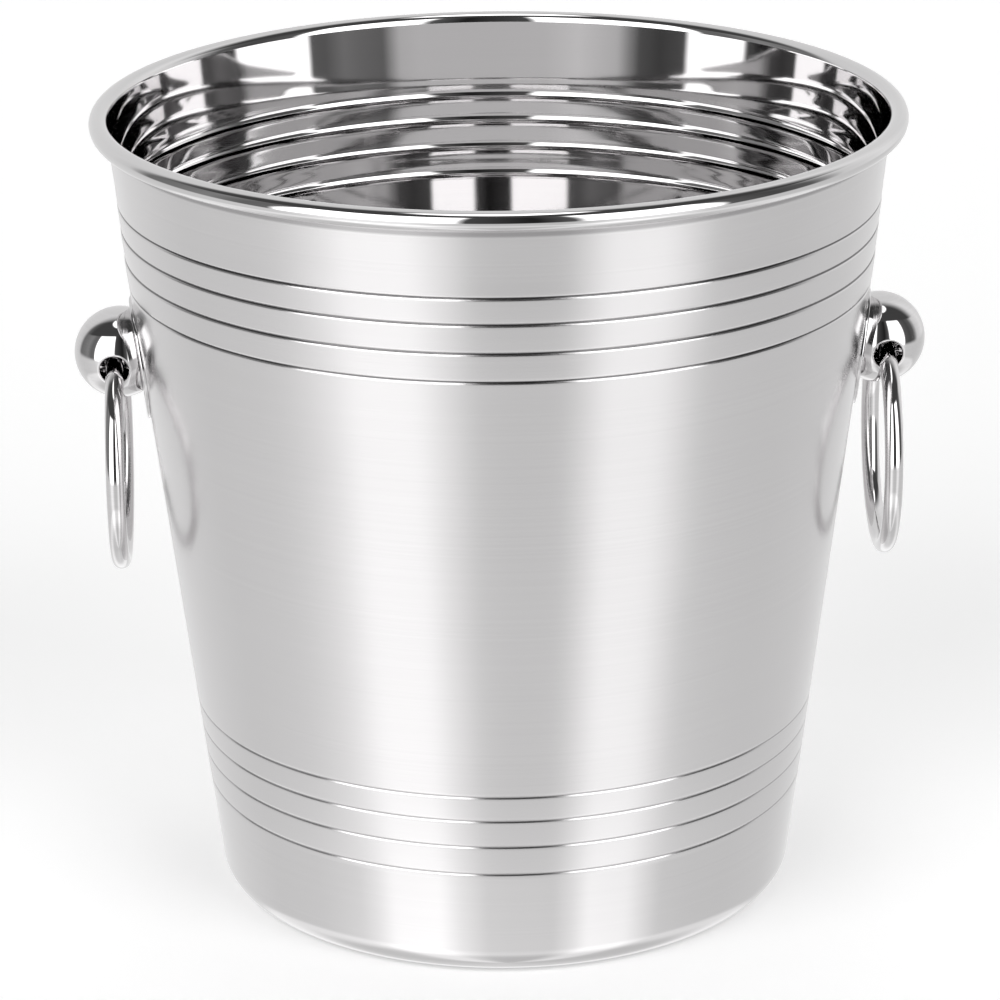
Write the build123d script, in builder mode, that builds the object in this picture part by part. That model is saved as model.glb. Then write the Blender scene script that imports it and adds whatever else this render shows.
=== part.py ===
"""Champagne bucket: a spun steel pail with two round knobs and a ring handle hanging in each.

Millimetres, +Z up. The origin is the centre of the base, on the surface that the bucket stands on.
The knobs and rings sit on the X axis, and the two sides are the same piece turned half a turn.
"""
from build123d import *
from math import asin, cos, pi, radians, sin, sqrt, tan
import os

# Pail: overall sizes and the sheet it is spun from
height = 221.0                  # base to the top of the rolled rim
rim_radius = 110.0              # outside of the rolled rim
sheet = 0.8                     # wall, floor and rim are one sheet
bead_radius = 2.65              # outside of the hollow rolled rim, in section
bead_gap_angle = 55.0           # the curl stops this far short of closing on the wall
lip_taper = 7.4                 # degrees from upright, between the lip's start and the bead
lip_drop = 19.5                 # the lip starts to flare this far below the rim's top
lip_blend = 150.0
upper_taper = 4.8               # degrees from upright, between the shoulder and the lip
lower_taper = 7.16              # degrees from upright, between the base and the shoulder
shoulder_drop = 43.0            # the taper changes here, measured down from the rim's top
base_corner = 8.5               # outside radius between wall and foot
foot_width = 14.0               # flat and corner together, out to where wall and foot would meet
base_lift = 2.0                 # the middle of the base is pressed up clear of the table
lift_slope = 5.0                # run of the slope between the foot and the lifted middle
lift_blend = 2.5

# Rolled grooves, two bands of four
upper_groove_drops = (23.9, 31.0, 38.8, 46.6)       # measured down from the rim's top
lower_groove_heights = (54.9, 47.7, 39.9, 31.6)     # measured up from the base
groove_width = 1.3
groove_depth = 0.45

# Knobs: a ball cut flat at the back, with an M5 stud behind it and an eye through it
knob_drop = 67.0                # the stud's axis meets the wall here, down from the rim's top
ball_radius = 12.5
ball_set_out = 4.7              # back-plate's outer face to the centre of the ball
eye_drop = 1.6                  # eye's axis below the centre of the ball
eye_set_out = 1.5               # eye's axis outward of the centre of the ball
eye_play = 1.45                 # eye's radius over the ring's wire radius
eye_edge = 1.1                  # rounding of the eye's two mouths
stud_radius = 2.45              # plain cylinder at an M5 thread's outside
stud_root = 0.7                 # the stud starts this far inside the ball's back
plate_radius = 17.0
plate_thickness = 0.9
plate_drop = 2.2                # the plate's middle is this far below the stud, where the ring lies
stud_clearance = 0.25           # holes in the plate and the wall, over the stud's radius

# Ring handles
wire_radius = 2.5
ring_radius = 28.75             # to the middle of the wire
ring_seat_gap = 0.43            # hanging ring over the eye's floor, at the ends of the eye
ring_top_gap = 0.3              # swung-up ring under the eye's roof

# Inside each knob: rubber seal, flat washer and M5 dome nut
seal_radius = 7.0
seal_thickness = 1.5            # on the stud's axis
washer_radius = 5.0
washer_thickness = 1.0
washer_play = 0.2               # washer's and seal's holes over the stud's radius
nut_flats = 8.0
nut_hex_height = 4.0
nut_dome_radius = 3.75
nut_height = 10.0
nut_bore_depth = 7.5
nut_play = 0.05                 # nut's bore over the stud's radius
stud_short = 1.0                # the stud ends this far short of the nut's blind end

# The pail's outside, worked out from the sizes above
lip_lean = radians(lip_taper)
curl_radius = bead_radius - sheet
bead_centre = Vector(rim_radius - bead_radius, height - bead_radius)
bead_start = bead_centre + curl_radius * Vector(-cos(lip_lean), sin(lip_lean))
lip_height = height - lip_drop
lip_radius = bead_start.X - (bead_start.Y - lip_height) * tan(lip_lean)
shoulder_height = height - shoulder_drop
shoulder_radius = lip_radius - (lip_height - shoulder_height) * tan(radians(upper_taper))
corner_radius = shoulder_radius - shoulder_height * tan(radians(lower_taper))
knob_height = height - knob_drop

# How the ring lies in the eye: its wire bends down from the middle of the eye to the two mouths
eye_radius = wire_radius + eye_play
floor_angle = asin((eye_drop + eye_radius) / ball_radius)
mouth_half = ball_radius * cos(floor_angle) - eye_edge / tan((pi / 2 - floor_angle) / 2)
wire_sag = ring_radius - sqrt(ring_radius**2 - mouth_half**2)
ring_rise = wire_sag - eye_play + ring_seat_gap         # wire's centre over the eye's axis
hinge_drop = (eye_play - ring_rise - ring_top_gap) / 2  # the swing's axis under the eye's axis


def wall_point(z, outward=0.0):
    """Return the point of the pail's outside at height z, moved outward square to the wall."""
    upper = z > shoulder_height
    taper = radians(upper_taper if upper else lower_taper)
    radius = shoulder_radius + (z - shoulder_height) * tan(taper)
    return Vector(radius + outward * cos(taper), z - outward * sin(taper))


def groove(z):
    """Draw one rolled groove into the wall at height z, and return its two ends."""
    taper = radians(upper_taper if z > shoulder_height else lower_taper)
    half = Vector(sin(taper), cos(taper)) * (groove_width / 2)
    middle = wall_point(z)
    ThreePointArc(middle - half, wall_point(z, -groove_depth), middle + half)
    return middle - half, middle + half


def inside_cone(outward):
    """Draw the half section of everything nearer the axis than the lower wall, moved outward."""
    low = wall_point(knob_height - 2 * plate_radius, outward)
    high = wall_point(shoulder_height, outward)
    Polygon((0, low.Y), (low.X, low.Y), (high.X, high.Y), (0, high.Y), align=None)


# The stud's axis stands square on the wall, so it points a little down as it comes out
tilt = radians(lower_taper)
seat_point = wall_point(knob_height)
sides = {
    name: Plane(
        origin=(facing * seat_point.X, 0, knob_height),
        x_dir=(0, facing, 0),
        z_dir=(facing * cos(tilt), 0, -sin(tilt)),
    )
    for name, facing in (("left", -1), ("right", 1))
}

ball_distance = plate_thickness + ball_set_out
eye_distance = ball_distance + eye_set_out
nut_face = -(sheet + seal_thickness + washer_thickness)     # where the nut bears on its washer

os.makedirs("parts", exist_ok=True)

# Pail: the section of the sheet is drawn along its outside, then given its thickness
with BuildPart() as bucket_shell:
    with BuildSketch(Plane.XZ):
        with BuildLine():
            foot_inner = corner_radius - foot_width
            heights = sorted(lower_groove_heights)
            heights += sorted(height - drop for drop in upper_groove_drops)
            ends = [groove(z) for z in heights]
            FilletPolyline(
                (0, base_lift),
                (foot_inner - lift_slope, base_lift),
                (foot_inner, 0),
                (corner_radius, 0),
                ends[0][0],
                radius=(lift_blend, lift_blend, base_corner),
            )
            for (_, start), (end, _) in zip(ends, ends[1:]):
                if start.Y < shoulder_height < end.Y:
                    Polyline(start, (shoulder_radius, shoulder_height), end)
                else:
                    Line(start, end)
            FilletPolyline(
                ends[-1][1],
                (lip_radius, lip_height),
                bead_start,
                radius=lip_blend,
            )
            offset(amount=sheet, side=Side.LEFT)
        make_face()
        with BuildLine():
            curl = (180 - lip_taper, lip_taper + bead_gap_angle - 360)
            inner = CenterArc(bead_centre, curl_radius, *curl)
            outer = CenterArc(bead_centre, bead_radius, *curl)
            Line(inner @ 0, outer @ 0)
            Line(inner @ 1, outer @ 1)
        make_face()
    revolve(axis=Axis.Z)
    with BuildSketch(*sides.values()):
        Circle(stud_radius + stud_clearance)
    extrude(amount=2 * sheet, both=True, mode=Mode.SUBTRACT)
bucket_shell.part.label = "bucket_shell"
export_step(bucket_shell.part, "parts/bucket_shell.step")

for side, seat in sides.items():
    ball_centre = seat.origin + seat.z_dir * ball_distance
    eye_centre = seat.origin + seat.z_dir * eye_distance - seat.y_dir * eye_drop

    # Knob: the ball, hollowed at the back to sit on the curved plate, its stud and its eye
    with BuildPart() as knob:
        with Locations(Plane(ball_centre, x_dir=-seat.z_dir, z_dir=seat.y_dir)):
            Sphere(ball_radius)
        with BuildSketch(Plane.XZ):
            inside_cone(plate_thickness)
        revolve(axis=Axis.Z, mode=Mode.SUBTRACT)
        with BuildSketch(Plane(eye_centre, x_dir=(1, 0, 0), z_dir=(0, 1, 0))):
            Circle(eye_radius)
        extrude(amount=ball_radius, both=True, mode=Mode.SUBTRACT)
        eye_edges = knob.edges(Select.LAST)
        eye_mouths = eye_edges.filter_by(lambda edge: abs(edge.center().Y) > ball_radius / 2)
        fillet(eye_mouths, eye_edge)
        with BuildSketch(seat.offset(plate_thickness + stud_root)):
            Circle(stud_radius)
        extrude(amount=nut_face - nut_bore_depth + stud_short - plate_thickness - stud_root)
    knob.part.label = f"{side}_knob"
    export_step(knob.part, f"parts/{side}_knob.step")

    # Back-plate: a thin disc curved to the wall it sits on
    with BuildPart() as back_plate:
        with BuildSketch(seat.offset(-plate_radius / 2)):
            with Locations((0, -plate_drop)):
                Circle(plate_radius)
            Circle(stud_radius + stud_clearance, mode=Mode.SUBTRACT)
        extrude(amount=plate_radius)
        with BuildSketch(Plane.XZ):
            inside_cone(plate_thickness)
        revolve(axis=Axis.Z, mode=Mode.INTERSECT)
        with BuildSketch(Plane.XZ):
            inside_cone(0)
        revolve(axis=Axis.Z, mode=Mode.SUBTRACT)
    back_plate.part.label = f"{side}_back_plate"
    export_step(back_plate.part, f"parts/{side}_back_plate.step")

    # Ring handle: round wire, hanging from the eye
    ring_centre = eye_centre + Vector(0, 0, ring_rise - ring_radius)
    with BuildPart() as ring:
        with BuildSketch(Plane(ring_centre + Vector(0, 0, ring_radius), x_dir=(1, 0, 0), z_dir=(0, 1, 0))):
            Circle(wire_radius)
        revolve(axis=Axis(ring_centre, (1, 0, 0)))
    ring.part.label = f"{side}_ring"
    export_step(ring.part, f"parts/{side}_ring.step")

    # Seal: rubber, its outer face curved to the wall and its inner face flat
    with BuildPart() as seal:
        with BuildSketch(seat.offset(-sheet - seal_thickness)):
            Circle(seal_radius)
            Circle(stud_radius + washer_play, mode=Mode.SUBTRACT)
        extrude(amount=2 * seal_thickness)
        with BuildSketch(Plane.XZ):
            inside_cone(-sheet)
        revolve(axis=Axis.Z, mode=Mode.INTERSECT)
    seal.part.label = f"{side}_seal"
    export_step(seal.part, f"parts/{side}_seal.step")

    # Washer: flat, between the seal and the nut
    with BuildPart() as washer:
        with BuildSketch(seat.offset(nut_face)):
            Circle(washer_radius)
            Circle(stud_radius + washer_play, mode=Mode.SUBTRACT)
        extrude(amount=washer_thickness)
    washer.part.label = f"{side}_washer"
    export_step(washer.part, f"parts/{side}_washer.step")

    # Dome nut: a hexagon under a closed dome, with a blind bore
    with BuildPart() as dome_nut:
        with BuildSketch(seat.offset(nut_face)):
            RegularPolygon(nut_flats / 2, side_count=6, major_radius=False)
        extrude(amount=-nut_hex_height)
        with BuildSketch(seat.offset(nut_face)):
            Circle(nut_dome_radius)
        extrude(amount=-(nut_height - nut_dome_radius))
        with Locations(seat.offset(nut_face - nut_height + nut_dome_radius)):
            Sphere(nut_dome_radius)
        with BuildSketch(seat.offset(nut_face)):
            Circle(stud_radius + nut_play)
        extrude(amount=-nut_bore_depth, mode=Mode.SUBTRACT)
    dome_nut.part.label = f"{side}_dome_nut"
    export_step(dome_nut.part, f"parts/{side}_dome_nut.step")

    hinge = eye_centre - Vector(0, 0, hinge_drop)
    print(f"{side} ring: hinge ({hinge.X:.3f}, 0, {hinge.Z:.3f}), centre height {ring_centre.Z:.3f}")
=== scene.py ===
"""Champagne bucket: the looks of a spun steel pail with a ring handle hanging from a round knob on each side.

Sizes in the classes are millimetres, in the frame of the CAD part: +Z up, the base on z = 0, and the
knobs and rings on the X axis. Every mesh is turned into metres as its piece is finished.
"""

import logging
import math
from dataclasses import dataclass, field
from enum import Enum

import bmesh
import bpy
import numpy as np
from mathutils import Matrix, Vector


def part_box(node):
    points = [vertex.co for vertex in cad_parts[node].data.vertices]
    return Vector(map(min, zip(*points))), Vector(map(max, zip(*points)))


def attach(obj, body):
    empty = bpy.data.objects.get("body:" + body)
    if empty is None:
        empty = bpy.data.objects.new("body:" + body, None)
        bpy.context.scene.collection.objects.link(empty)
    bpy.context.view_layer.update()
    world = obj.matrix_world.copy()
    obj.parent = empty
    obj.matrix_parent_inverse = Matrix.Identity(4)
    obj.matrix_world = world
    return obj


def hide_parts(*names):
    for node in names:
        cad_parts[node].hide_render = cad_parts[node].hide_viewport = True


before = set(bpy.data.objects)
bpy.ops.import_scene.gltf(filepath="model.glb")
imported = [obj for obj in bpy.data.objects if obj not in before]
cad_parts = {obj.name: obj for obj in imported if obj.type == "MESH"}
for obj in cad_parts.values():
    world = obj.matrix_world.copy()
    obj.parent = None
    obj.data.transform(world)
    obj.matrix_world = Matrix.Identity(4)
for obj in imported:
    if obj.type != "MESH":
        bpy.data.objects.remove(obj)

MM = 0.001
LOG = logging.getLogger("champagne_bucket")
Point = tuple[float, float]
Colour = tuple[float, float, float]


class Slot(Enum):
    """The record's material slots."""

    SATIN = "satin_steel"
    POLISHED = "polished_steel"
    PLAIN = "plain_steel"
    RUBBER = "seal_rubber"


class Side(Enum):
    """The two sides of the pail, by the half turns that bring the right-hand pieces there."""

    LEFT = 1
    RIGHT = 0

    @property
    def title(self) -> str:
        """The side's name, as the CAD nodes and bodies use it."""
        return self.name.lower()

    @property
    def turn(self) -> Matrix:
        """The turn about the pail's axis that brings a right-hand piece to this side."""
        return Matrix.Rotation(math.pi * self.value, 4, "Z")


# ---------------------------------------------------------------- node trees


class NodeBoard:
    """A node tree with short ways to add and join nodes."""

    def __init__(self, tree: bpy.types.NodeTree) -> None:
        """Take a node tree, and empty it.

        Args:
            tree: The node tree of a material, a world or a group.
        """
        self.tree = tree
        self.tree.nodes.clear()

    def add(self, kind: str, **settings: object) -> bpy.types.Node:
        """Add a node.

        Args:
            kind: Blender's name for the node's type.
            **settings: Attributes of the node to set.

        Returns:
            The new node.
        """
        node = self.tree.nodes.new(kind)
        for name, value in settings.items():
            setattr(node, name, value)
        return node

    def put(self, socket: bpy.types.NodeSocket, value: object) -> None:
        """Join an output to a socket, or set the socket's own value.

        Args:
            socket: The input to feed.
            value: An output socket, a number or a tuple.
        """
        if isinstance(value, bpy.types.NodeSocket):
            self.tree.links.new(value, socket)
        else:
            socket.default_value = value

    def feed(self, node: bpy.types.Node, given: dict[str | int, object]) -> None:
        """Join or set several inputs of a node.

        Args:
            node: The node.
            given: What each input gets, by its name or its place.
        """
        for key, value in given.items():
            self.put(node.inputs[key], value)

    def maths(self, operation: str, *values: object, clamp: bool = False) -> bpy.types.NodeSocket:
        """Add a Math node.

        Args:
            operation: The node's operation.
            *values: Its inputs, as sockets or numbers.
            clamp: Whether the result is held between 0 and 1.

        Returns:
            The result's socket.
        """
        node = self.add("ShaderNodeMath", operation=operation, use_clamp=clamp)
        self.feed(node, dict(enumerate(values)))
        return node.outputs[0]

    def span(
        self, value: object, start: float, end: float, low: object = 0.0, high: object = 1.0,
    ) -> bpy.types.NodeSocket:
        """Add a Map Range node with a smooth step.

        Args:
            value: The number that is mapped.
            start: Where the step starts.
            end: Where the step ends.
            low: The result before the step.
            high: The result after it.

        Returns:
            The result's socket.
        """
        node = self.add("ShaderNodeMapRange", interpolation_type="SMOOTHSTEP")
        self.feed(node, {"Value": value, "From Min": start, "From Max": end, "To Min": low, "To Max": high})
        return node.outputs["Result"]

    def mix(self, share: object, low: object, high: object) -> bpy.types.NodeSocket:
        """Add a Mix node for numbers.

        Args:
            share: How much of the second value shows.
            low: The first value.
            high: The second value.

        Returns:
            The result's socket.
        """
        node = self.add("ShaderNodeMix", data_type="FLOAT")
        self.feed(node, {0: share, 2: low, 3: high})
        return node.outputs[0]

    def tint(self, share: object, low: object, high: object) -> bpy.types.NodeSocket:
        """Add a Mix node for colours.

        Args:
            share: How much of the second colour shows.
            low: The first colour, as a socket or three numbers.
            high: The second colour.

        Returns:
            The result's socket.
        """
        node = self.add("ShaderNodeMix", data_type="RGBA")
        low, high = ((*value, 1.0) if isinstance(value, tuple) else value for value in (low, high))
        self.feed(node, {0: share, 6: low, 7: high})
        return node.outputs[2]


class SharedEffects:
    """Node groups that more than one finish uses, each built once."""

    LINE_BAND = (0.32, 0.68)         # noise between which a brushing line goes from dark to light
    CLOUD_BAND = (0.3, 0.7)
    SPECK_BAND = (0.6, 0.8)
    SPECK_FINENESS = 14.0            # specks to a cloud

    def __init__(self) -> None:
        """Build both groups."""
        self.turned_grain = self._turned_grain()
        self.handling_haze = self._handling_haze()

    @staticmethod
    def _group(
        name: str, numbers: dict[str, float], outputs: tuple[str, ...],
    ) -> tuple[bpy.types.NodeTree, NodeBoard, bpy.types.Node, bpy.types.Node]:
        """Make a group with a vector input, number inputs and number outputs.

        Args:
            name: The group's name.
            numbers: The number inputs and what they are if nothing is set.
            outputs: The outputs' names.

        Returns:
            The group, its nodes, and the nodes at its two ends.
        """
        group = bpy.data.node_groups.new(name, "ShaderNodeTree")
        group.interface.new_socket("Vector", in_out="INPUT", socket_type="NodeSocketVector")
        for title, value in numbers.items():
            group.interface.new_socket(title, in_out="INPUT", socket_type="NodeSocketFloat").default_value = value
        for title in outputs:
            group.interface.new_socket(title, in_out="OUTPUT", socket_type="NodeSocketFloat")
        board = NodeBoard(group)
        return group, board, board.add("NodeGroupInput"), board.add("NodeGroupOutput")

    def _turned_grain(self) -> bpy.types.NodeTree:
        """Make the fine lines that turning and polishing leave round the Z axis.

        Returns:
            The group: Lines and Drift are cycles per metre across and along the lines.
        """
        group, board, start, end = self._group("turned_grain", {"Lines": 6500.0, "Drift": 4.0}, ("Fac", "Height"))
        stretch = board.add("ShaderNodeCombineXYZ")
        drift = start.outputs["Drift"]
        board.feed(stretch, {"X": drift, "Y": drift, "Z": start.outputs["Lines"]})
        place = board.add("ShaderNodeVectorMath", operation="MULTIPLY")
        board.feed(place, {0: start.outputs["Vector"], 1: stretch.outputs[0]})
        lines = board.add("ShaderNodeTexNoise", noise_dimensions="3D")
        board.feed(lines, {"Vector": place.outputs[0], "Scale": 1.0, "Detail": 2.0, "Roughness": 0.6})
        board.feed(end, {"Fac": board.span(lines.outputs[0], *self.LINE_BAND), "Height": lines.outputs[0]})
        return group

    def _handling_haze(self) -> bpy.types.NodeTree:
        """Make the soft clouds and small specks that wiping and handling leave.

        Returns:
            The group: Size is cycles per metre of the clouds, and Specks is how much the specks count.
        """
        group, board, start, end = self._group("handling_haze", {"Size": 22.0, "Specks": 0.3}, ("Fac",))
        clouds, specks = board.add("ShaderNodeTexNoise"), board.add("ShaderNodeTexNoise")
        fine = board.maths("MULTIPLY", start.outputs["Size"], self.SPECK_FINENESS)
        for node, scale, detail in ((clouds, start.outputs["Size"], 3.0), (specks, fine, 2.0)):
            board.feed(node, {"Vector": start.outputs["Vector"], "Scale": scale, "Detail": detail})
        soft = board.span(clouds.outputs[0], *self.CLOUD_BAND)
        spots = board.maths("MULTIPLY", board.span(specks.outputs[0], *self.SPECK_BAND), start.outputs["Specks"])
        board.put(end.inputs["Fac"], board.maths("ADD", soft, spots, clamp=True))
        return group


# ---------------------------------------------------------------- finishes


def new_surface(name: str) -> tuple[bpy.types.Material, NodeBoard, bpy.types.Node]:
    """Start a material with a Principled shader.

    Args:
        name: The material's name.

    Returns:
        The material, its nodes and the shader.
    """
    made = bpy.data.materials.new(name)
    made.use_nodes = True
    board = NodeBoard(made.node_tree)
    shader, end = board.add("ShaderNodeBsdfPrincipled"), board.add("ShaderNodeOutputMaterial")
    board.put(end.inputs["Surface"], shader.outputs[0])
    return made, board, shader


@dataclass(frozen=True)
class PaintedShadeLine:
    """A line round the pail where painted shade darkens the metal's colour."""

    height: float                    # of its middle, mm
    half: float                      # half its width, mm
    share: float                     # how dark the painted shade is in its middle, as a share


@dataclass(frozen=True)
class SteelFinish:
    """Stainless steel, from satin to mirror.

    The brushing runs round the pail's axis, so a satin finish spreads a reflection up and down.
    """

    name: str
    light: Colour
    dark: Colour
    roughness: float
    haze: float                      # added to the roughness where the metal has been handled
    spread: float = 0.0              # how far the shine is drawn out across the brushing
    quarter_turn: float = 0.25       # from along the brushing to across it
    grain_depth: float = 0.0         # height of the brushing lines, mm
    grain_lines: float = 6500.0
    haze_size: float = 22.0
    polished_below: float = 0.0      # the metal is brighter under this height, mm
    polished_roughness: float = 0.05
    polish_blend: float = 0.4        # half the height of the step from one polish to the other, mm
    # Painted shade: lines where the base colour is darkened, standing in for shade in the grooves, under the curl and
    # along the foot
    painted_shade_lines: tuple[PaintedShadeLine, ...] = ()
    painted_shade_colour: Colour = (0.09, 0.088, 0.09)

    def material(self, effects: SharedEffects) -> bpy.types.Material:
        """Make the material.

        Args:
            effects: The shared node groups.

        Returns:
            The material.
        """
        made, board, shader = new_surface(self.name)
        place = board.add("ShaderNodeTexCoord").outputs["Object"]
        haze = board.add("ShaderNodeGroup", node_tree=effects.handling_haze)
        grain = board.add("ShaderNodeGroup", node_tree=effects.turned_grain)
        board.feed(haze, {"Vector": place, "Size": self.haze_size})
        board.feed(grain, {"Vector": place, "Lines": self.grain_lines})
        board.put(shader.inputs["Metallic"], 1.0)
        height = board.add("ShaderNodeSeparateXYZ")
        board.put(height.inputs[0], place)
        colour = board.tint(grain.outputs["Fac"], self.dark, self.light)
        # Painted shade: along each line the base colour is darkened towards a near-black, in place of the shade that
        # falls there
        if self.painted_shade_lines:
            shade_mask: object = 0.0
            for line in self.painted_shade_lines:
                away = board.maths("ABSOLUTE", board.maths("SUBTRACT", height.outputs["Z"], line.height * MM))
                faded = board.span(away, line.half * MM / 4, line.half * MM, line.share, 0.0)
                shade_mask = board.maths("ADD", shade_mask, faded, clamp=True)
            colour = board.tint(shade_mask, colour, self.painted_shade_colour)
        board.put(shader.inputs["Base Color"], colour)
        rough = board.mix(haze.outputs["Fac"], self.roughness, self.roughness + self.haze)
        if self.polished_below:
            below, above = ((self.polished_below + way * self.polish_blend) * MM for way in (-1, 1))
            rough = board.mix(board.span(height.outputs["Z"], below, above), self.polished_roughness, rough)
        board.put(shader.inputs["Roughness"], rough)
        if self.spread:
            tangent = board.add("ShaderNodeTangent", direction_type="RADIAL", axis="Z")
            board.feed(shader, {
                "Anisotropic": self.spread, "Anisotropic Rotation": self.quarter_turn, "Tangent": tangent.outputs[0],
            })
        if self.grain_depth:
            bump = board.add("ShaderNodeBump")
            depth = self.grain_depth * MM
            board.feed(bump, {"Strength": 1.0, "Distance": depth, "Height": grain.outputs["Height"]})
            board.put(shader.inputs["Normal"], bump.outputs[0])
        return made


@dataclass(frozen=True)
class RubberFinish:
    """Moulded black rubber."""

    name: str = "moulded_rubber"
    light: Colour = (0.035, 0.034, 0.033)
    dark: Colour = (0.018, 0.018, 0.018)
    roughness: float = 0.62
    haze: float = 0.2                # added to the roughness where it has been handled
    haze_size: float = 240.0

    def material(self, effects: SharedEffects) -> bpy.types.Material:
        """Make the material.

        Args:
            effects: The shared node groups.

        Returns:
            The material.
        """
        made, board, shader = new_surface(self.name)
        haze = board.add("ShaderNodeGroup", node_tree=effects.handling_haze)
        board.feed(haze, {"Vector": board.add("ShaderNodeTexCoord").outputs["Object"], "Size": self.haze_size})
        rough = board.mix(haze.outputs["Fac"], self.roughness, self.roughness + self.haze)
        board.feed(shader, {"Base Color": board.tint(haze.outputs["Fac"], self.dark, self.light), "Roughness": rough})
        return made


class Finishes:
    """Every finish of the bucket, as materials."""

    def __init__(self, painted_shade_lines: tuple[PaintedShadeLine, ...]) -> None:
        """Make the shared effects, and then the materials.

        Args:
            painted_shade_lines: The lines of painted shade round the pail.
        """
        effects = SharedEffects()
        self.satin = SteelFinish(
            "satin_steel_outside", (0.735, 0.724, 0.728), (0.715, 0.704, 0.708), roughness=0.2, haze=0.03,
            spread=0.8, grain_depth=0.0003, polished_below=30.0, polished_roughness=0.1, painted_shade_lines=painted_shade_lines,
        ).material(effects)
        self.mirror = SteelFinish(
            "mirror_steel_inside", (0.725, 0.717, 0.72), (0.715, 0.707, 0.71), roughness=0.03, haze=0.015,
            grain_lines=3000.0,
        ).material(effects)
        self.polished = SteelFinish(
            "polished_steel_fittings", (0.74, 0.73, 0.734), (0.71, 0.70, 0.704), roughness=0.03, haze=0.015,
            haze_size=90.0,
        ).material(effects)
        self.plain = SteelFinish(
            "plain_steel_fasteners", (0.62, 0.605, 0.61), (0.55, 0.54, 0.545), roughness=0.24, haze=0.12,
            haze_size=160.0,
        ).material(effects)
        self.rubber = RubberFinish().material(effects)


# ---------------------------------------------------------------- meshes


class Workshop:
    """The steps that every piece goes through."""

    WELD = 1e-4                      # points closer than this become one, mm

    def __init__(self, finishes: Finishes) -> None:
        """Keep the finishes, and start the list of what was made."""
        self.finishes = finishes
        self.made: list[bpy.types.Object] = []

    @staticmethod
    def sweep(bm: bmesh.types.BMesh, axis: tuple[int, int, int], steps: int) -> None:
        """Turn a mesh's edges round an axis into a closed skin.

        Args:
            bm: The mesh.
            axis: The way that the axis points from the origin.
            steps: How many steps the turn has.
        """
        bmesh.ops.spin(
            bm, geom=bm.verts[:] + bm.edges[:], cent=(0, 0, 0), axis=axis, angle=math.tau, steps=steps, use_merge=True,
        )
        bmesh.ops.remove_doubles(bm, verts=bm.verts[:], dist=Workshop.WELD)

    @staticmethod
    def turned(outline: list[Point], steps: int) -> bmesh.types.BMesh:
        """Turn an outline round the Z axis.

        Args:
            outline: Points of the half section, as radius and height.
            steps: How many steps the turn has.

        Returns:
            The mesh, closed at its seam and at its ends on the axis.
        """
        bm = bmesh.new()
        wire = [bm.verts.new((radius, 0.0, height)) for radius, height in outline]
        for pair in zip(wire, wire[1:]):
            bm.edges.new(pair)
        Workshop.sweep(bm, (0, 0, 1), steps)
        bmesh.ops.recalc_face_normals(bm, faces=bm.faces[:])
        return bm

    @staticmethod
    def rounded(corners: list[tuple[float, float, float]], arc_steps: int = 4) -> list[Point]:
        """Round the corners of an outline.

        Args:
            corners: Radius, height and rounding of each corner; the ends have a rounding of 0.
            arc_steps: Steps in each rounded corner.

        Returns:
            The outline's points.
        """
        points: list[Point] = []
        for index, (r, z, rounding) in enumerate(corners):
            here = Vector((r, z))
            if not rounding:
                points.append((r, z))
                continue
            before = (Vector(corners[index - 1][:2]) - here).normalized()
            after = (Vector(corners[index + 1][:2]) - here).normalized()
            half = before.angle(after) / 2
            centre = here + (before + after).normalized() * (rounding / math.sin(half))
            start = here + before * (rounding / math.tan(half)) - centre
            turn = (math.pi - 2 * half) * (1 if before.x * after.y - before.y * after.x < 0 else -1)
            for step in range(arc_steps + 1):
                angle = turn * step / arc_steps
                c, s = math.cos(angle), math.sin(angle)
                points.append((centre.x + start.x * c - start.y * s, centre.y + start.x * s + start.y * c))
        return points

    def piece(
        self, bm: bmesh.types.BMesh, name: str, body: str, materials: tuple[bpy.types.Material, ...],
        replaces: tuple[str, ...] = (), sharp: float = 35.0,
    ) -> None:
        """Turn a mesh in millimetres into a finished piece.

        Args:
            bm: The mesh, in place; it is freed.
            name: The piece's name.
            body: The CAD body that it rides on.
            materials: Its materials, in the order of the faces' indices.
            replaces: The CAD nodes that it stands for.
            sharp: Edges that turn by more degrees than this stay sharp.
        """
        bmesh.ops.scale(bm, vec=(MM, MM, MM), verts=bm.verts[:])
        mesh = bpy.data.meshes.new(name)
        bm.to_mesh(mesh)
        bm.free()
        for material in materials:
            mesh.materials.append(material)
        mesh.shade_smooth()
        mesh.set_sharp_from_angle(angle=math.radians(sharp))
        made = bpy.data.objects.new(name, mesh)
        bpy.context.scene.collection.objects.link(made)
        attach(made, body)
        if replaces:
            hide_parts(*replaces)
        self.made.append(made)
        mesh.calc_loop_triangles()
        LOG.info("%s rides on %s, %d triangles", name, body, len(mesh.loop_triangles))


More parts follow.
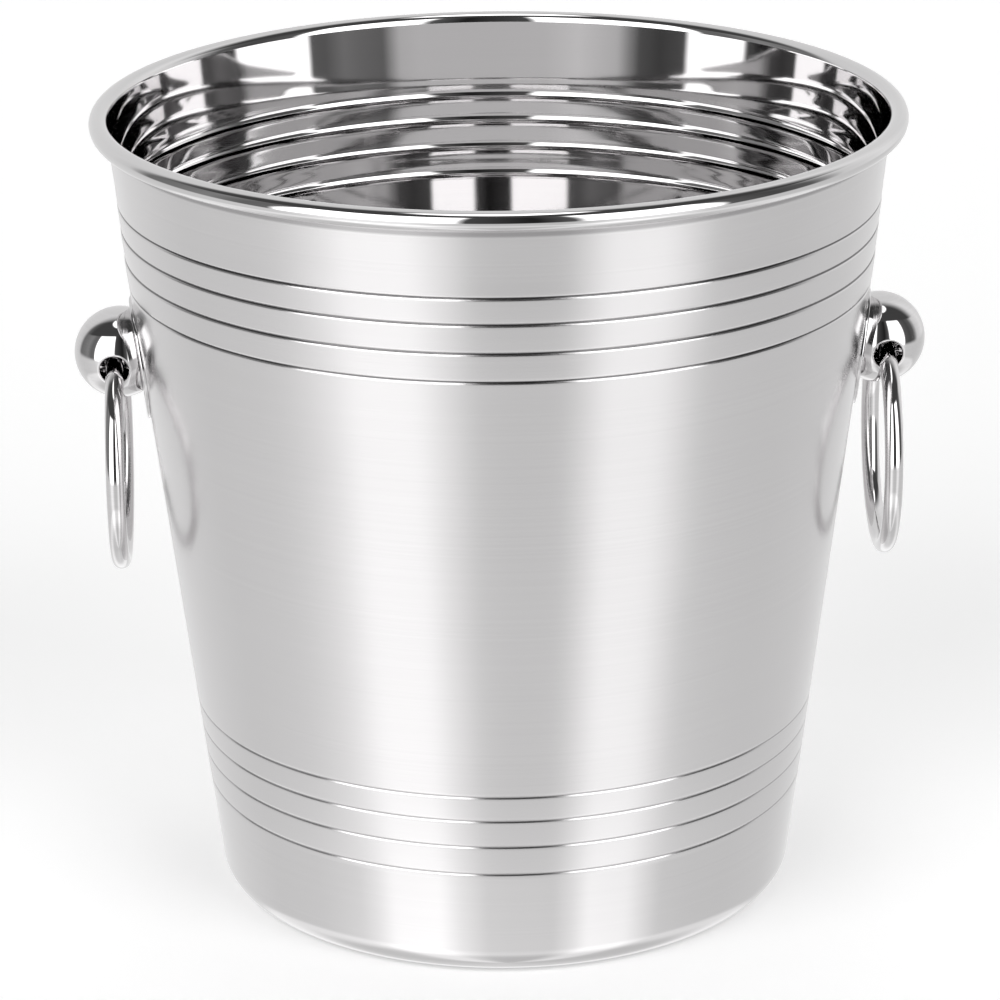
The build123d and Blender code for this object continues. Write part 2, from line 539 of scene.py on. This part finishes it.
@dataclass
class Pail:
    """The spun pail: one sheet, from the middle of the base to the end of the rim's curl."""

    height: float = 221.0
    rim_radius: float = 110.0
    sheet: float = 0.8
    bead_radius: float = 2.65
    bead_gap_angle: float = 55.0
    lip_taper: float = 6.5
    lip_drop: float = 19.5
    lip_blend: float = 150.0
    upper_taper: float = 5.47
    lower_taper: float = 7.16
    shoulder_drop: float = 43.0
    base_corner: float = 8.5
    foot_width: float = 14.0
    base_lift: float = 2.0
    lift_slope: float = 5.0
    lift_blend: float = 2.5
    upper_groove_drops: tuple[float, ...] = (23.9, 31.0, 38.8, 46.6)
    lower_groove_heights: tuple[float, ...] = (31.6, 39.9, 47.7, 54.9)
    groove_depths: tuple[float, float] = (0.22, 0.32)      # of the lower grooves and the upper
    groove_half: float = 0.34        # where a groove has lost most of its depth
    groove_darks: tuple[float, float] = (0.4, 0.9)       # how dark the painted shade in the grooves' bottoms is, lower band and upper, as a share
    foot_shade: float = 1.5          # painted shade along the foot's turned edge, for the shadowed floor it mirrors, reaches up to this height
    foot_dark: float = 0.6
    rim_shade_drop: float = 6.7      # painted shade lies on the wall close under the curl, this far below the top
    rim_shade: float = 1.1
    rim_dark: float = 0.45
    ridge_height: float = 0.3        # of the ridge that a groove pushes up inside
    ridge_half: float = 0.6
    band_crown: float = 0.03         # the bands between grooves stand this proud in the middle
    knob_drop: float = 67.0
    turn_steps: int = 256
    corner_steps: int = 16
    lip_steps: int = 8
    curl_steps: int = 40
    groove_steps: tuple[float, ...] = (0.0, 0.12, 0.24, 0.38, 0.55, 0.8, 1.2, 1.9)     # from a groove's middle, mm
    band_steps: tuple[float, ...] = (0.38, 0.5, 0.62)                # across a band, as shares
    rim_steps: tuple[float, ...] = (0.03, 0.3, 0.6, 0.85, 0.96, 0.99, 1.0)     # from lip to curl, as shares
    wall_start: float = 0.5          # the grooved wall's points start this far above the corner
    wall_end: float = 0.2            # and end this far below the lip
    seam: float = 0.1                # how far past the curl's edge the mirror finish may reach
    floor_slope: float = 0.2         # faces of the base that look up by more than this are its inside

    def __post_init__(self) -> None:
        """Work out the wall's corners, and the bands of grooves."""
        lean = math.radians(self.lip_taper)
        self.curl_radius = self.bead_radius - self.sheet
        self.bead_centre = Vector((self.rim_radius - self.bead_radius, self.height - self.bead_radius))
        self.bead_start = self.bead_centre + Vector((-math.cos(lean), math.sin(lean))) * self.curl_radius
        self.lip_height = self.height - self.lip_drop
        self.lip_radius = self.bead_start.x - (self.bead_start.y - self.lip_height) * math.tan(lean)
        self.shoulder_height = self.height - self.shoulder_drop
        self.shoulder_radius = self.lip_radius - (self.lip_height - self.shoulder_height) * math.tan(
            math.radians(self.upper_taper)
        )
        # Above the shoulder each band stays parallel to the lower wall, and steps in at its grooves
        self.band_lean = math.tan(math.radians(self.lower_taper)) - math.tan(math.radians(self.upper_taper))
        self.corner_radius = self.shoulder_radius - self.shoulder_height * math.tan(math.radians(self.lower_taper))
        self.knob_height = self.height - self.knob_drop
        upper = sorted(self.height - drop for drop in self.upper_groove_drops)
        self.groove_bands = (sorted(self.lower_groove_heights), upper)

    @property
    def painted_shade_lines(self) -> tuple[PaintedShadeLine, ...]:
        """The lines outside that carry painted shade.

        Returns:
            The foot's edge, each groove, and the wall close under the curl.
        """
        grooves = [
            PaintedShadeLine(middle, self.groove_half, dark)
            for band, dark in zip(self.groove_bands, self.groove_darks) for middle in band
        ]
        rim = PaintedShadeLine(self.height - self.rim_shade_drop, self.rim_shade, self.rim_dark)
        return (PaintedShadeLine(0.0, self.foot_shade, self.foot_dark), *grooves, rim)

    @property
    def knob_radius(self) -> float:
        """The wall's outside radius at the height of the knobs."""
        below_shoulder = self.shoulder_height - self.knob_height
        return self.shoulder_radius - below_shoulder * math.tan(math.radians(self.lower_taper))

    def relief(self, z: float, depths: tuple[float, float], half: float) -> float:
        """How far the wall stands out of its plain cone, from grooves and crowned bands.

        Args:
            z: Height on the wall.
            depths: Depth of the grooves in the lower band and the upper.
            half: The grooves' half width.

        Returns:
            Millimetres, outward positive.
        """
        out = 0.0
        for band, depth in zip(self.groove_bands, depths):
            out -= sum(depth * math.exp(-(((z - middle) / half) ** 2)) for middle in band)
            for low, high in zip(band, band[1:]):
                if low < z < high:
                    across = (2 * z - low - high) / (high - low)
                    out += self.band_crown * (1 - across * across)
                    if z > self.shoulder_height:
                        clear = min(1.0, (z - low) / self.groove_half, (high - z) / self.groove_half)
                        out += self.band_lean * clear * (z - (low + high) / 2)
        return out

    def _wall_heights(self, low: float, high: float) -> list[float]:
        """Heights at which the wall needs a point.

        Args:
            low: Where the straight wall starts.
            high: Where it ends.

        Returns:
            The heights, in rising order.
        """
        heights = {low, high}
        for band in self.groove_bands:
            for middle in band:
                heights.update(middle + way * step for step in self.groove_steps for way in (-1, 1))
            for start, end in zip(band, band[1:]):
                heights.update(start + (end - start) * share for share in self.band_steps)
        return sorted(z for z in heights if low <= z <= high)

    def spine(self) -> list[tuple[Vector, Vector, bool]]:
        """The sheet's outside line from the axis to the end of the curl.

        Returns:
            For each point its place, the way out of the sheet, and whether it lies on the grooved wall.
        """
        foot_inner = self.corner_radius - self.foot_width
        foot = Workshop.rounded([
            (0.0, self.base_lift, 0.0), (foot_inner - self.lift_slope, self.base_lift, self.lift_blend),
            (foot_inner, 0.0, self.lift_blend), (self.corner_radius, 0.0, 0.0),
        ])[:-1]
        corner = Workshop.rounded([
            (foot_inner, 0.0, 0.0),
            (self.corner_radius, 0.0, self.base_corner),
            (self.shoulder_radius, self.shoulder_height, 0.0),
        ], arc_steps=self.corner_steps)[1:-1]
        top = Workshop.rounded([
            (self.shoulder_radius, self.shoulder_height, 0.0),
            (self.lip_radius, self.lip_height, self.lip_blend),
            (self.bead_start.x, self.bead_start.y, 0.0),
        ], arc_steps=self.lip_steps)[1:]
        # Short steps below the curl keep its turn from bending the lip's shading
        lip, rim = Vector(top[-2]), Vector(top[-1])
        top[-1:] = [tuple(lip.lerp(rim, share)) for share in self.rim_steps]
        wall = []
        for z in self._wall_heights(corner[-1][1] + self.wall_start, top[0][1] - self.wall_end):
            taper = self.lower_taper if z < self.shoulder_height else self.upper_taper
            wall.append((self.shoulder_radius + (z - self.shoulder_height) * math.tan(math.radians(taper)), z))
        line = foot + corner + wall + top
        points = []
        for index, here in enumerate(line):
            before, after = line[max(index - 1, 0)], line[min(index + 1, len(line) - 1)]
            along = (Vector(after) - Vector(before)).normalized()
            if index == 0:
                along = Vector((1.0, 0.0))
            grooved = corner[-1][1] < here[1] < top[0][1]
            points.append((Vector(here), Vector((along.y, -along.x)), grooved))
        start = math.radians(180 - self.lip_taper)
        sweep = math.radians(360 - self.bead_gap_angle - self.lip_taper)
        for step in range(1, self.curl_steps + 1):
            angle = start - sweep * step / self.curl_steps
            ray = Vector((math.cos(angle), math.sin(angle)))
            points.append((self.bead_centre + ray * self.curl_radius, -ray, False))
        return points

    def build(self, shop: Workshop) -> None:
        """Build the pail and dress it: satin outside, mirror inside and on the rolled rim.

        Args:
            shop: The workshop.
        """
        outside, inside = [], []
        for place, out, grooved in self.spine():
            groove = self.relief(place.y, self.groove_depths, self.groove_half) if grooved else 0.0
            ridge = self.relief(place.y, (self.ridge_height, self.ridge_height), self.ridge_half) if grooved else 0.0
            outside.append(tuple(place + out * groove))
            inside.append(tuple(place - out * (self.sheet - ridge)))
        bm = shop.turned(outside + inside[::-1], self.turn_steps)
        for face in bm.faces:
            middle = face.calc_center_median()
            round_radius = math.hypot(middle.x, middle.y)
            looks_in = (face.normal.x * middle.x + face.normal.y * middle.y) / max(round_radius, 1e-6) < 0
            on_wall = middle.z > self.base_corner
            from_bead = math.hypot(round_radius - self.bead_centre.x, middle.z - self.bead_centre.y)
            on_bead = from_bead < self.bead_radius + self.seam and round_radius > self.bead_start.x + self.seam
            on_floor = face.normal.z > self.floor_slope and not on_wall
            in_corner = looks_in and face.normal.z > 0
            face.material_index = int(on_bead or on_floor or in_corner or (on_wall and looks_in))
        materials = (shop.finishes.satin, shop.finishes.mirror)
        shop.piece(bm, "bucket_pail", "bucket", materials, ("bucket_shell",))


@dataclass
class KnobSet:
    """A knob with what holds it: back-plate, stud, seal, washer and dome nut.

    The pieces are built in the seat's own frame: u round the pail, v up the wall and w straight out of it.
    """

    pail: Pail
    ball_radius: float = 12.5
    ball_set_out: float = 4.7
    eye_drop: float = 1.6
    eye_set_out: float = 1.5
    eye_radius: float = 3.95
    eye_edge: float = 0.6
    back_edge: float = 0.2
    stud_radius: float = 2.45
    stud_root: float = 0.7
    thread_pitch: float = 0.8
    thread_depth: float = 0.35
    plate_radius: float = 17.0
    plate_thickness: float = 0.9
    plate_drop: float = 2.2          # the plate's circle hangs this much below its hole
    plate_edge: float = 0.35
    hole_radius: float = 2.7
    seal_radius: float = 7.0
    seal_thickness: float = 1.5
    seal_eased: tuple[float, float] = (0.25, 0.35)       # its edges towards the pail and away from it
    washer_radius: float = 5.0
    washer_thickness: float = 1.0
    washer_hole: float = 2.65
    washer_eased: tuple[float, float] = (0.08, 0.22)
    nut_flats: float = 8.0
    nut_hex_height: float = 4.0
    nut_dome_radius: float = 3.75
    nut_height: float = 10.0
    nut_bore_radius: float = 2.5
    nut_bore_depth: float = 7.5
    stud_short: float = 1.0
    ball_steps: int = 288
    section_steps: int = 216
    stud_steps: int = 64
    plate_steps: int = 160
    disc_steps: int = 96

    def __post_init__(self) -> None:
        """Work out the seat's tilt and place, and where the nut bears."""
        self.tilt = math.radians(self.pail.lower_taper)
        self.nut_face = -(self.pail.sheet + self.seal_thickness + self.washer_thickness)
        c, s = math.cos(self.tilt), math.sin(self.tilt)
        self.seat = Matrix((
            (0, s, c, self.pail.knob_radius), (1, 0, 0, 0), (0, c, -s, self.pail.knob_height), (0, 0, 0, 1),
        ))

    def off_wall(self, uvw: np.ndarray) -> np.ndarray:
        """How far points lie outside the lower wall's cone.

        Args:
            uvw: Points in the seat's frame, one to a row.

        Returns:
            Their distances, outward positive.
        """
        u, v, w = uvw[:, 0], uvw[:, 1], uvw[:, 2]
        c, s = math.cos(self.tilt), math.sin(self.tilt)
        across = np.hypot(self.pail.knob_radius + w * c + v * s, u)
        return (across - self.pail.knob_radius - (v * c - w * s) * s / c) * c

    def ball_distance(self, uvw: np.ndarray) -> np.ndarray:
        """Signed distance to the ball with its eye and its hollowed back, edges rounded.

        Args:
            uvw: Points in the seat's frame, one to a row.

        Returns:
            Their distances, positive outside the metal.
        """
        ball_w = self.plate_thickness + self.ball_set_out
        ball = np.linalg.norm(uvw - np.array((0.0, 0.0, ball_w)), axis=1) - self.ball_radius
        eye = self.eye_radius - np.hypot(uvw[:, 1] + self.eye_drop, uvw[:, 2] - ball_w - self.eye_set_out)
        back = self.plate_thickness - self.off_wall(uvw)
        return self._cut(self._cut(ball, eye, self.eye_edge), back, self.back_edge)

    @staticmethod
    def _cut(a: np.ndarray, b: np.ndarray, edge: float) -> np.ndarray:
        """Signed distance to what two shapes share, with the edge between them rounded."""
        return np.minimum(-edge, np.maximum(a, b)) + np.hypot(np.maximum(a + edge, 0), np.maximum(b + edge, 0))

    def _bend(self, bm: bmesh.types.BMesh, flat_at: float | None = None, bent_at: float = 0.0) -> None:
        """Curve a flat disc in the seat's frame to the wall.

        Args:
            bm: The mesh; its w becomes the distance off the wall.
            flat_at: The w that stays flat, if one face does.
            bent_at: The w of the face that follows the wall fully, where the other stays flat.
        """
        for vert in bm.verts:
            want, share = vert.co.z, 1.0
            if flat_at is not None:
                share = min(max((want - flat_at) / (bent_at - flat_at), 0.0), 1.0)
            moved = np.array([tuple(vert.co)])
            for _ in range(3):
                moved[0, 2] -= float(self.off_wall(moved)[0]) - want
            vert.co.z = want + (moved[0, 2] - want) * share

    def _ball(self) -> bmesh.types.BMesh:
        """The ball: a ring round the eye, swollen until it fills the ball's shape.

        Returns:
            The mesh, in the seat's frame.
        """
        bm = bmesh.new()
        middle = 8.0                 # radius of the starting ring, between the eye and the skin
        farthest, halvings = 24.0, 34
        into_metal = 0.6             # from the eye's wall to a point that is surely in the metal
        widen = 2.0                  # rays lean along the eye, where the metal reaches farther
        bmesh.ops.create_circle(bm, cap_ends=False, radius=1.0, segments=self.section_steps)
        bmesh.ops.translate(bm, vec=(middle, 0, 0), verts=bm.verts[:])
        # The circle has to lie in a plane through the eye's axis, which is u here
        swap_axes = Matrix(((0, 1, 0, 0), (1, 0, 0, 0), (0, 0, 1, 0), (0, 0, 0, 1)))
        bmesh.ops.transform(bm, matrix=swap_axes, verts=bm.verts[:])
        Workshop.sweep(bm, (1, 0, 0), self.ball_steps)
        co = np.array([tuple(vert.co) for vert in bm.verts])
        round_eye = co[:, 1:] / np.linalg.norm(co[:, 1:], axis=1)[:, None]
        section = np.stack((co[:, 0], np.linalg.norm(co[:, 1:], axis=1) - middle), axis=1)
        section /= np.linalg.norm(section, axis=1)[:, None]
        eye = np.array((0.0, -self.eye_drop, self.plate_thickness + self.ball_set_out + self.eye_set_out))

        def point(radius: np.ndarray, along: np.ndarray) -> np.ndarray:
            """Points at a radius from the eye's axis and a distance along it."""
            return eye + np.column_stack((along, round_eye * radius[:, None]))

        def reach(origin: np.ndarray, ways: np.ndarray) -> np.ndarray:
            """Distance from points in the metal to its skin, by halving.

            Args:
                origin: Each point's radius from the eye's axis.
                ways: Each ray's share along the axis and away from it.

            Returns:
                The distances.
            """
            low, high = np.zeros(len(co)), np.full(len(co), farthest)
            for _ in range(halvings):
                half = (low + high) / 2
                inside = self.ball_distance(point(origin + ways[:, 1] * half, ways[:, 0] * half)) < 0
                low, high = np.where(inside, half, low), np.where(inside, high, half)
            return (low + high) / 2

        # The metal's middle on each ray from the eye, then its skin on each ray from that middle
        start = np.full(len(co), self.eye_radius + into_metal)
        outer = start + reach(start, np.tile((0.0, 1.0), (len(co), 1)))
        centre = (self.eye_radius + outer) / 2
        stretch = section * np.array((widen, 1.0))
        ways = stretch / np.linalg.norm(stretch, axis=1)[:, None]
        distance = reach(centre, ways)
        placed = point(centre + ways[:, 1] * distance, ways[:, 0] * distance)
        for vert, where in zip(bm.verts, placed):
            vert.co = where
        bmesh.ops.recalc_face_normals(bm, faces=bm.faces[:])
        return bm

    def _stud(self) -> bmesh.types.BMesh:
        """The threaded stud behind the ball.

        Returns:
            The mesh, in the seat's frame.
        """
        start = self.nut_face - self.nut_bore_depth + self.stud_short
        end = self.plate_thickness + self.stud_root
        root = self.stud_radius - self.thread_depth
        chamfer, plain_end = 0.3, 1.0
        crest_start, crest_end, flank_end = 0.35, 0.5, 0.75        # along one turn of the thread, mm
        outline: list[Point] = [(0.0, start), (root - chamfer, start), (root, start + chamfer)]
        for turn in range(int((end - start - plain_end) / self.thread_pitch)):
            foot = start + chamfer + turn * self.thread_pitch
            outline += [(self.stud_radius, foot + crest_start), (self.stud_radius, foot + crest_end)]
            outline += [(root, foot + flank_end)]
        return Workshop.turned(outline + [(root, end), (0.0, end)], self.stud_steps)

    def _plate(self) -> bmesh.types.BMesh:
        """The back-plate: a thin disc with an eased edge, curved to the wall.

        Returns:
            The mesh, in the seat's frame.
        """
        edge, thick, flat_radius = self.plate_edge, self.plate_thickness, self.plate_radius - 1.0
        steps = [self.hole_radius + (flat_radius - self.hole_radius) * n / 10 for n in range(11)]
        under = [(radius, 0.0) for radius in steps]
        over = [(radius, thick) for radius in reversed(steps)]
        rim = Workshop.rounded([
            (flat_radius, 0.0, 0.0), (self.plate_radius, 0.0, edge / 3),
            (self.plate_radius, thick, edge), (flat_radius, thick, 0.0),
        ], arc_steps=5)[1:-1]
        bm = Workshop.turned(under + rim + over + [under[0]], self.plate_steps)
        for vert in bm.verts:
            from_hole = math.hypot(vert.co.x, vert.co.y) - self.hole_radius
            vert.co.y -= self.plate_drop * from_hole / (self.plate_radius - self.hole_radius)
        self._bend(bm)
        return bm

    def _disc(self, radius: float, near: float, far: float, eased: tuple[float, float]) -> bmesh.types.BMesh:
        """A flat disc with a hole for the stud.

        Args:
            radius: The disc's radius.
            near: The w of the face towards the pail.
            far: The w of the other face.
            eased: How much the two faces' edges are eased.

        Returns:
            The mesh.
        """
        hole = self.washer_hole
        outline = Workshop.rounded([
            (hole, near, 0.0), (radius, near, eased[0]), (radius, far, eased[1]), (hole, far, 0.0),
        ])
        return Workshop.turned(outline + [outline[0]], self.disc_steps)

    def _seal(self) -> bmesh.types.BMesh:
        """The rubber seal, curved to the wall on one face and flat on the other.

        Returns:
            The mesh, in the seat's frame.
        """
        near, far = -self.pail.sheet, -self.pail.sheet - self.seal_thickness
        bm = self._disc(self.seal_radius, near, far, self.seal_eased)
        self._bend(bm, flat_at=far, bent_at=near)
        return bm

    def _washer(self) -> bmesh.types.BMesh:
        """The flat washer, with the eased edge that stamping leaves on one face."""
        far = self.nut_face
        return self._disc(self.washer_radius, far + self.washer_thickness, far, self.washer_eased)

    def _nut(self) -> bmesh.types.BMesh:
        """The dome nut: a turned blank, its lower part cut back to a hexagon.

        Returns:
            The mesh, in the seat's frame.
        """
        face, dome = self.nut_face, self.nut_dome_radius
        corner = self.nut_flats / math.sqrt(3)
        chamfer, groove = 0.3, 0.12
        outline: list[Point] = [
            (0.0, face - self.nut_bore_depth),
            (self.nut_bore_radius, face - self.nut_bore_depth),
            (self.nut_bore_radius, face),
            (corner - chamfer * 1.6, face),
            (corner, face - chamfer),
        ]
        outline += [(corner, face - chamfer - (self.nut_hex_height - 2 * chamfer) * n / 3) for n in range(1, 4)]
        shoulder = face - self.nut_hex_height
        outline += [(corner - chamfer * 2, shoulder), (dome + groove, shoulder), (dome, shoulder - groove)]
        ball = face - self.nut_height + dome
        outline += [
            (dome * math.cos(math.radians(a)), ball - dome * math.sin(math.radians(a))) for a in range(0, 90, 9)
        ]
        bm = Workshop.turned(outline + [(0.0, face - self.nut_height)], self.disc_steps)
        for vert in bm.verts:
            radius = math.hypot(vert.co.x, vert.co.y)
            if radius > dome + groove / 2:
                turn = math.atan2(vert.co.y, vert.co.x) % (math.pi / 3) - math.pi / 6
                keep = min(1.0, self.nut_flats / 2 / math.cos(turn) / radius)
                vert.co.x, vert.co.y = vert.co.x * keep, vert.co.y * keep
        bmesh.ops.recalc_face_normals(bm, faces=bm.faces[:])
        return bm

    def build(self, shop: Workshop, side: Side) -> None:
        """Build every piece of one knob, and move each from the seat's frame to its side of the pail.

        Args:
            shop: The workshop.
            side: Which side.
        """
        looks = shop.finishes
        pieces = (
            (self._ball(), "knob_ball", Slot.POLISHED, looks.polished, "knob", 80.0),
            (self._stud(), "knob_stud", Slot.POLISHED, looks.plain, "", 25.0),
            (self._plate(), "back_plate_disc", Slot.POLISHED, looks.polished, "back_plate", 35.0),
            (self._seal(), "seal_ring", Slot.RUBBER, looks.rubber, "seal", 35.0),
            (self._washer(), "washer_disc", Slot.PLAIN, looks.plain, "washer", 35.0),
            (self._nut(), "dome_nut_cap", Slot.PLAIN, looks.plain, "dome_nut", 22.0),
        )
        for bm, name, slot, material, node, sharp in pieces:
            bmesh.ops.transform(bm, matrix=side.turn @ self.seat, verts=bm.verts[:])
            nodes = (f"{side.title}_{node}",) if node else ()
            shop.piece(bm, f"{side.title}_{name}", "bucket", (material,), nodes, sharp)


@dataclass
class RingHandle:
    """A ring of round wire, hanging in the knob's eye. Its sizes come from its CAD node."""

    ring_steps: int = 256
    wire_steps: int = 48

    def build(self, shop: Workshop, side: Side) -> None:
        """Build one ring.

        Args:
            shop: The workshop.
            side: Which side.
        """
        low, high = (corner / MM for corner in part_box(f"{side.title}_ring"))
        wire_radius = (high.x - low.x) / 2
        ring_radius = (high.z - low.z) / 2 - wire_radius
        bm = bmesh.new()
        bmesh.ops.create_circle(bm, cap_ends=False, radius=wire_radius, segments=self.wire_steps)
        bmesh.ops.rotate(bm, cent=(0, 0, 0), matrix=Matrix.Rotation(math.pi / 2, 3, "X"), verts=bm.verts[:])
        bmesh.ops.translate(bm, vec=(0, 0, ring_radius), verts=bm.verts[:])
        shop.sweep(bm, (1, 0, 0), self.ring_steps)
        bmesh.ops.recalc_face_normals(bm, faces=bm.faces[:])
        bmesh.ops.translate(bm, vec=(low + high) / 2, verts=bm.verts[:])
        name, handle, node = (f"{side.title}_{word}" for word in ("ring_handle", "handle", "ring"))
        shop.piece(bm, name, handle, (shop.finishes.polished,), (node,), sharp=80.0)


# ---------------------------------------------------------------- studio


@dataclass
class Studio:
    """Plain pale floor, soft light from all round with two large soft boxes, and the camera.

    Angles are degrees: azimuth 0 is in front of the pail and grows towards its right-hand knob.
    """

    brightest: float = 4.0
    dimming: float = 0.8
    level_light: tuple[Point, ...] = (
        (-180, 1.0), (-135, 1.0), (-123, 0.92), (-113, 0.24), (-98, 0.29), (-88, 0.34), (-76, 0.2), (-67, 0.22),
        (-64, 3.2), (-15, 3.2), (-12, 0.1), (0, 0.05), (8, 0.02), (19, 0.15), (23, 3.2), (59, 3.2),
        (63, 0.15), (79, 0.1), (92, 0.16), (99, 0.5), (106, 0.95), (130, 1.18), (150, 1.02), (180, 1.0),
    )
    table_light: tuple[Point, ...] = (
        (-180, 1.1), (-130, 0.98), (-111, 0.93), (-86, 0.96), (-66, 1.05), (-58, 1.22), (-50, 1.48), (-30, 1.45),
        (-21, 1.14), (-10, 0.89), (0, 0.86), (18, 0.85), (26, 1.05), (33, 1.34), (50, 1.34), (58, 1.12), (66, 0.92),
        (80, 0.9), (100, 0.89), (130, 0.92), (180, 1.1),
    )
    ceiling_dark: float = 0.08
    ceiling_edge: Point = (0.52, 0.58)           # height of the boxes' top edge, on a unit sphere
    ceiling_fall: float = 0.45                   # how much lower that edge is away from the front
    front_edge: Point = (-0.5, -0.1)             # the ceiling is dark in front of this
    crown_edge: Point = (75.0, 80.0)
    table_edge: Point = (-14.0, -6.0)            # below this the table's light takes over
    near_edge: Point = (-41.0, -35.0)            # below this the table is brighter
    near_gain: float = 1.35
    under_edge: Point = (-62.0, -46.0)           # and below this it is dimmer again
    under_gain: float = 0.7
    backdrop: float = 1.05                       # what the camera sees behind everything
    crown_light: float = 3.0
    floor_colour: Colour = (0.93, 0.93, 0.93)
    floor_glow: float = 0.28
    floor_radius: float = 9.0
    lens: float = 165.9
    stand_off: float = 1204.6        # camera from the pail's axis, mm
    heading: float = 2.0
    eye_height: float = 528.9
    yaw: float = 1.97
    pitch: float = 19.26
    roll: float = -0.56

    def _ramp(self, board: NodeBoard, share: bpy.types.NodeSocket, stops: tuple[Point, ...]) -> bpy.types.NodeSocket:
        """Add a colour ramp that gives the light's strength by azimuth.

        Args:
            board: The world's nodes.
            share: Azimuth as a share of the full turn.
            stops: Azimuth and strength of each stop.

        Returns:
            The strength's socket.
        """
        node = board.add("ShaderNodeValToRGB")
        elements = node.color_ramp.elements
        for index, (azimuth, strength) in enumerate(stops):
            where = azimuth / 360 + 0.5
            element = elements[index] if index < 2 else elements.new(where)
            element.position = where
            level = strength / self.brightest
            element.color = (level, level, level, 1.0)
        board.put(node.inputs[0], share)
        return board.maths("MULTIPLY", node.outputs[0], self.brightest)

    def light(self) -> None:
        """Make the world: what the metal mirrors, and plain white behind the bucket."""
        world = bpy.data.worlds.new("soft_studio")
        bpy.context.scene.world = world
        world.use_nodes = True
        board = NodeBoard(world.node_tree)
        way = board.add("ShaderNodeSeparateXYZ")
        board.put(way.inputs[0], board.add("ShaderNodeTexCoord").outputs["Generated"])
        front = board.maths("MULTIPLY", way.outputs["Y"], -1.0)
        turn = board.maths("ARCTAN2", way.outputs["X"], front)
        share = board.maths("ADD", board.maths("DIVIDE", turn, math.tau), 0.5)
        rise = board.maths("DEGREES", board.maths("ARCSINE", way.outputs["Z"]))
        level = self._ramp(board, share, self.level_light)
        table = self._ramp(board, share, self.table_light)
        table = board.maths("MULTIPLY", table, board.span(rise, *self.near_edge, self.near_gain, 1.0))
        table = board.maths("MULTIPLY", table, board.span(rise, *self.under_edge, self.under_gain, 1.0))
        strength = board.mix(board.span(rise, *self.table_edge), table, level)
        ahead = board.span(front, *self.front_edge)
        lifted = board.maths("SUBTRACT", way.outputs["Z"], board.maths("MULTIPLY", front, self.ceiling_fall))
        dark = board.maths("MULTIPLY", board.span(lifted, *self.ceiling_edge), ahead)
        strength = board.mix(dark, strength, self.ceiling_dark)
        strength = board.mix(board.span(rise, *self.crown_edge), strength, self.crown_light)
        strength = board.maths("MULTIPLY", strength, self.dimming)
        background, end = board.add("ShaderNodeBackground"), board.add("ShaderNodeOutputWorld")
        seen = board.add("ShaderNodeLightPath").outputs["Is Camera Ray"]
        board.feed(background, {"Color": (1.0, 1.0, 1.0, 1.0), "Strength": board.mix(seen, strength, self.backdrop)})
        board.put(end.inputs["Surface"], background.outputs[0])

    def floor(self) -> None:
        """Make the floor. It shows and takes shadows, and the metal mirrors the studio's own lower half."""
        bm = bmesh.new()
        bmesh.ops.create_circle(bm, cap_ends=True, radius=self.floor_radius, segments=96)
        mesh = bpy.data.meshes.new("studio_floor")
        bm.to_mesh(mesh)
        bm.free()
        made, board, shader = new_surface("pale_floor")
        board.feed(shader, {
            "Base Color": (*self.floor_colour, 1.0), "Roughness": 0.9, "Specular IOR Level": 0.0,
            "Emission Color": (1.0, 1.0, 1.0, 1.0), "Emission Strength": self.floor_glow,
        })
        mesh.materials.append(made)
        floor = bpy.data.objects.new("studio_floor", mesh)
        bpy.context.scene.collection.objects.link(floor)
        floor.location.z = -0.05 * MM
        floor.visible_glossy = False
        floor.visible_shadow = False

    def camera(self) -> None:
        """Place the camera."""
        data = bpy.data.cameras.new("camera")
        data.lens, data.sensor_width = self.lens, 36.0
        data.clip_start, data.clip_end = 0.05, 20.0
        camera = bpy.data.objects.new("camera", data)
        bpy.context.scene.collection.objects.link(camera)
        bpy.context.scene.camera = camera
        heading, yaw, pitch, roll = (math.radians(a) for a in (self.heading, self.yaw, self.pitch, self.roll))
        ahead = Vector((math.sin(yaw) * math.cos(pitch), math.cos(yaw) * math.cos(pitch), -math.sin(pitch)))
        right = Vector((math.cos(yaw), -math.sin(yaw), 0.0))
        up = right.cross(ahead)
        across = right * math.cos(roll) + up * math.sin(roll)
        upright = up * math.cos(roll) - right * math.sin(roll)
        turn = Matrix((across, upright, -ahead)).transposed()
        back, left = math.cos(heading) * self.stand_off, math.sin(heading) * self.stand_off
        where = Vector((-left, -back, self.eye_height)) * MM
        camera.matrix_world = Matrix.Translation(where) @ turn.to_4x4()

    def build(self) -> None:
        """Make the light, the floor and the camera."""
        self.light()
        self.floor()
        self.camera()
        bpy.context.scene.view_settings.view_transform = "Standard"


@dataclass
class ChampagneBucket:
    """The whole bucket."""

    pail: Pail = field(default_factory=Pail)

    def build(self, shop: Workshop) -> None:
        """Build the pail, and a knob and a ring on each side.

        Args:
            shop: The workshop.
        """
        self.pail.build(shop)
        knobs = KnobSet(self.pail)
        for side in Side:
            knobs.build(shop, side)
            RingHandle().build(shop, side)


def main() -> None:
    """Build the studio and the bucket."""
    logging.basicConfig(level=logging.INFO, format="%(name)s: %(message)s")
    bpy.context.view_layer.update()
    Studio().build()
    bucket = ChampagneBucket()
    shop = Workshop(Finishes(bucket.pail.painted_shade_lines))
    bucket.build(shop)
    bpy.context.view_layer.update()
    LOG.info("%d pieces made", len(shop.made))


if __name__ == "__main__":
    main()
